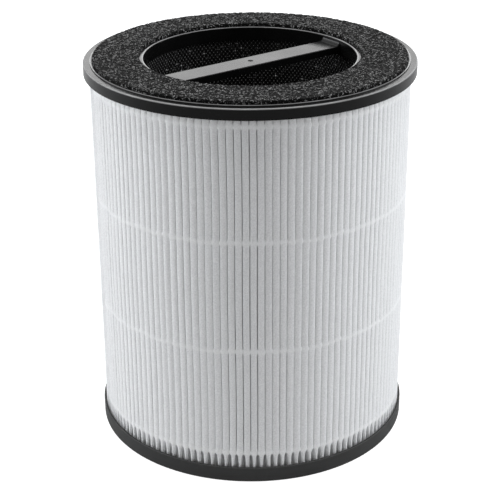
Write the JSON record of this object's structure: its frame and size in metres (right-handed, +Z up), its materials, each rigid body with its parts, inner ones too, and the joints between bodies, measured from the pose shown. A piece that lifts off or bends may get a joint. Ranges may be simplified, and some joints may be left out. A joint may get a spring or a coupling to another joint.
{
  "type": "air purifier filter",
  "caption": "Cylindrical pleated air purifier filter with a carbon core, end frames, a sealing foam ring and a pull bar across the open top.",
  "frame": {"origin": "centre of the underside of the base frame, where the filter stands", "axes": "+Z up along the filter's axis, X along the pull bar across the upper opening"},
  "size_m": [0.2062, 0.2062, 0.2478],
  "materials": {
    "frame_black": "satin black moulded plastic",
    "foam_black": "open-cell black foam",
    "media_white": "soft white non-woven filter sheet",
    "glue_white": "white hot-melt",
    "net_black": "black plastic net",
    "carbon": "dark granules",
    "sleeve_grey": "thin non-woven sleeve",
    "adhesive": "cured adhesive",
    "base_grey": "matt dark grey moulded plastic"
  },
  "bodies": {
    "root": {"top_frame": "frame_black", "sealing_foam": "foam_black", "pleated_media": "media_white", "bottom_glue_bead": "glue_white", "lower_glue_bead": "glue_white", "upper_glue_bead": "glue_white", "top_glue_bead": "glue_white", "inner_net": "net_black", "carbon_bed": "carbon", "carbon_sleeve": "sleeve_grey", "top_adhesive": "adhesive", "bottom_adhesive": "adhesive", "base_frame": "base_grey"}
  },
  "joints": []
}
